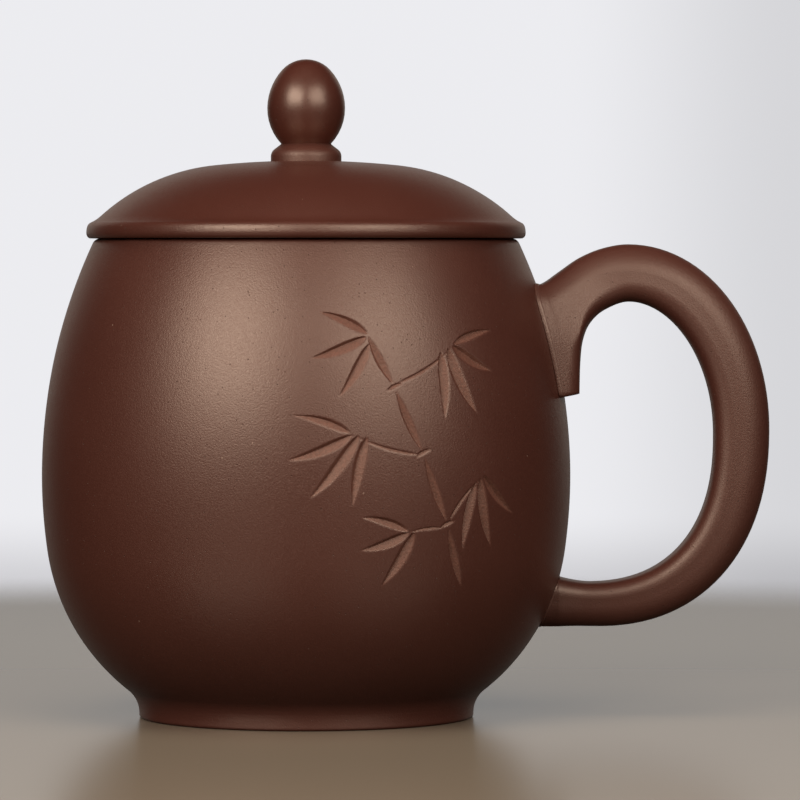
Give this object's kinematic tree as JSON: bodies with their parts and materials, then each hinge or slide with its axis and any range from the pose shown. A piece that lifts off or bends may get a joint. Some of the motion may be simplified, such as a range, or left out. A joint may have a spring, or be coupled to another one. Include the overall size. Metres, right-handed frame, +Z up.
{
  "type": "lidded tea cup",
  "caption": "Round-bellied unglazed clay tea cup on a low foot ring, with a loop handle and a loose domed lid with an egg-shaped knob.",
  "frame": {"origin": "on the cup's axis, in the plane of the foot ring's resting face", "axes": "+Z up along the cup's axis, +X towards the handle, +Y across the handle"},
  "size_m": [0.1377, 0.1, 0.1245],
  "materials": {
    "red_clay": "satin, fine-grained, unglazed",
    "clay_slip": "satin, smoothed, unglazed"
  },
  "bodies": {
    "cup": {"body_wall": "red_clay", "base_disc": "red_clay", "foot_ring": "red_clay", "mouth_ring": "red_clay", "handle": "red_clay", "upper_luting_slip": "clay_slip", "lower_luting_slip": "clay_slip"},
    "lid": {"lid_seat_plate": "red_clay", "lid_dome": "red_clay", "lid_flange": "red_clay", "knob_collar": "red_clay", "knob": "red_clay"}
  },
  "joints": [
    {"name": "lid_lift", "type": "slide", "parent": "cup", "child": "lid", "axis": [0, 0, 1], "range_m": [0, 0.12]}
  ]
}
